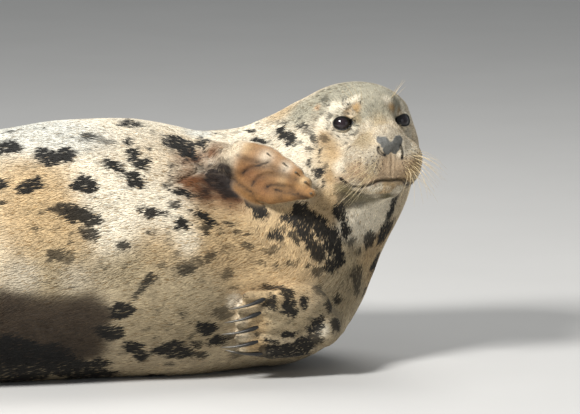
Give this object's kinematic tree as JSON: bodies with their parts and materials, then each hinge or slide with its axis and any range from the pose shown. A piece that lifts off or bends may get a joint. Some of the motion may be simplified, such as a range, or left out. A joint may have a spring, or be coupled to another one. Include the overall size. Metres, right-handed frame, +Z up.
{
  "type": "grey seal",
  "caption": "Adult female grey seal lying on one side with the head raised, one fore flipper up and the other folded on the chest.",
  "frame": {"origin": "middle of the flat where the chest rests on the floor", "axes": "+X towards the head end, -Y the side that the belly faces, +Z up"},
  "size_m": [1.8503, 0.5846, 0.5333],
  "materials": {
    "coat": "short flat fur, cream to sandy tan with black blotches",
    "face": "very short fur, grey-olive on the crown and cream on the muzzle",
    "flipper_skin": "creased brown skin on the palm, short fur on the back",
    "eyeball": "wet gloss",
    "claw": "slate horn, half gloss, paler at the tip"
  },
  "bodies": {
    "root": {"head": "face", "neck": "coat", "chest": "coat", "belly": "coat", "rump": "coat", "tail": "coat", "eye_left": "eyeball", "eye_right": "eyeball", "fore_flipper_left": "flipper_skin", "fore_flipper_right": "flipper_skin", "hind_flipper_left": "flipper_skin", "hind_flipper_right": "flipper_skin", "fore_claw_left_1": "claw", "fore_claw_left_2": "claw", "fore_claw_left_3": "claw", "fore_claw_left_4": "claw", "fore_claw_left_5": "claw", "fore_claw_right_1": "claw", "fore_claw_right_2": "claw", "fore_claw_right_3": "claw", "fore_claw_right_4": "claw", "fore_claw_right_5": "claw", "hind_claw_left_1": "claw", "hind_claw_left_2": "claw", "hind_claw_left_3": "claw", "hind_claw_left_4": "claw", "hind_claw_left_5": "claw", "hind_claw_right_1": "claw", "hind_claw_right_2": "claw", "hind_claw_right_3": "claw", "hind_claw_right_4": "claw", "hind_claw_right_5": "claw"}
  },
  "joints": []
}
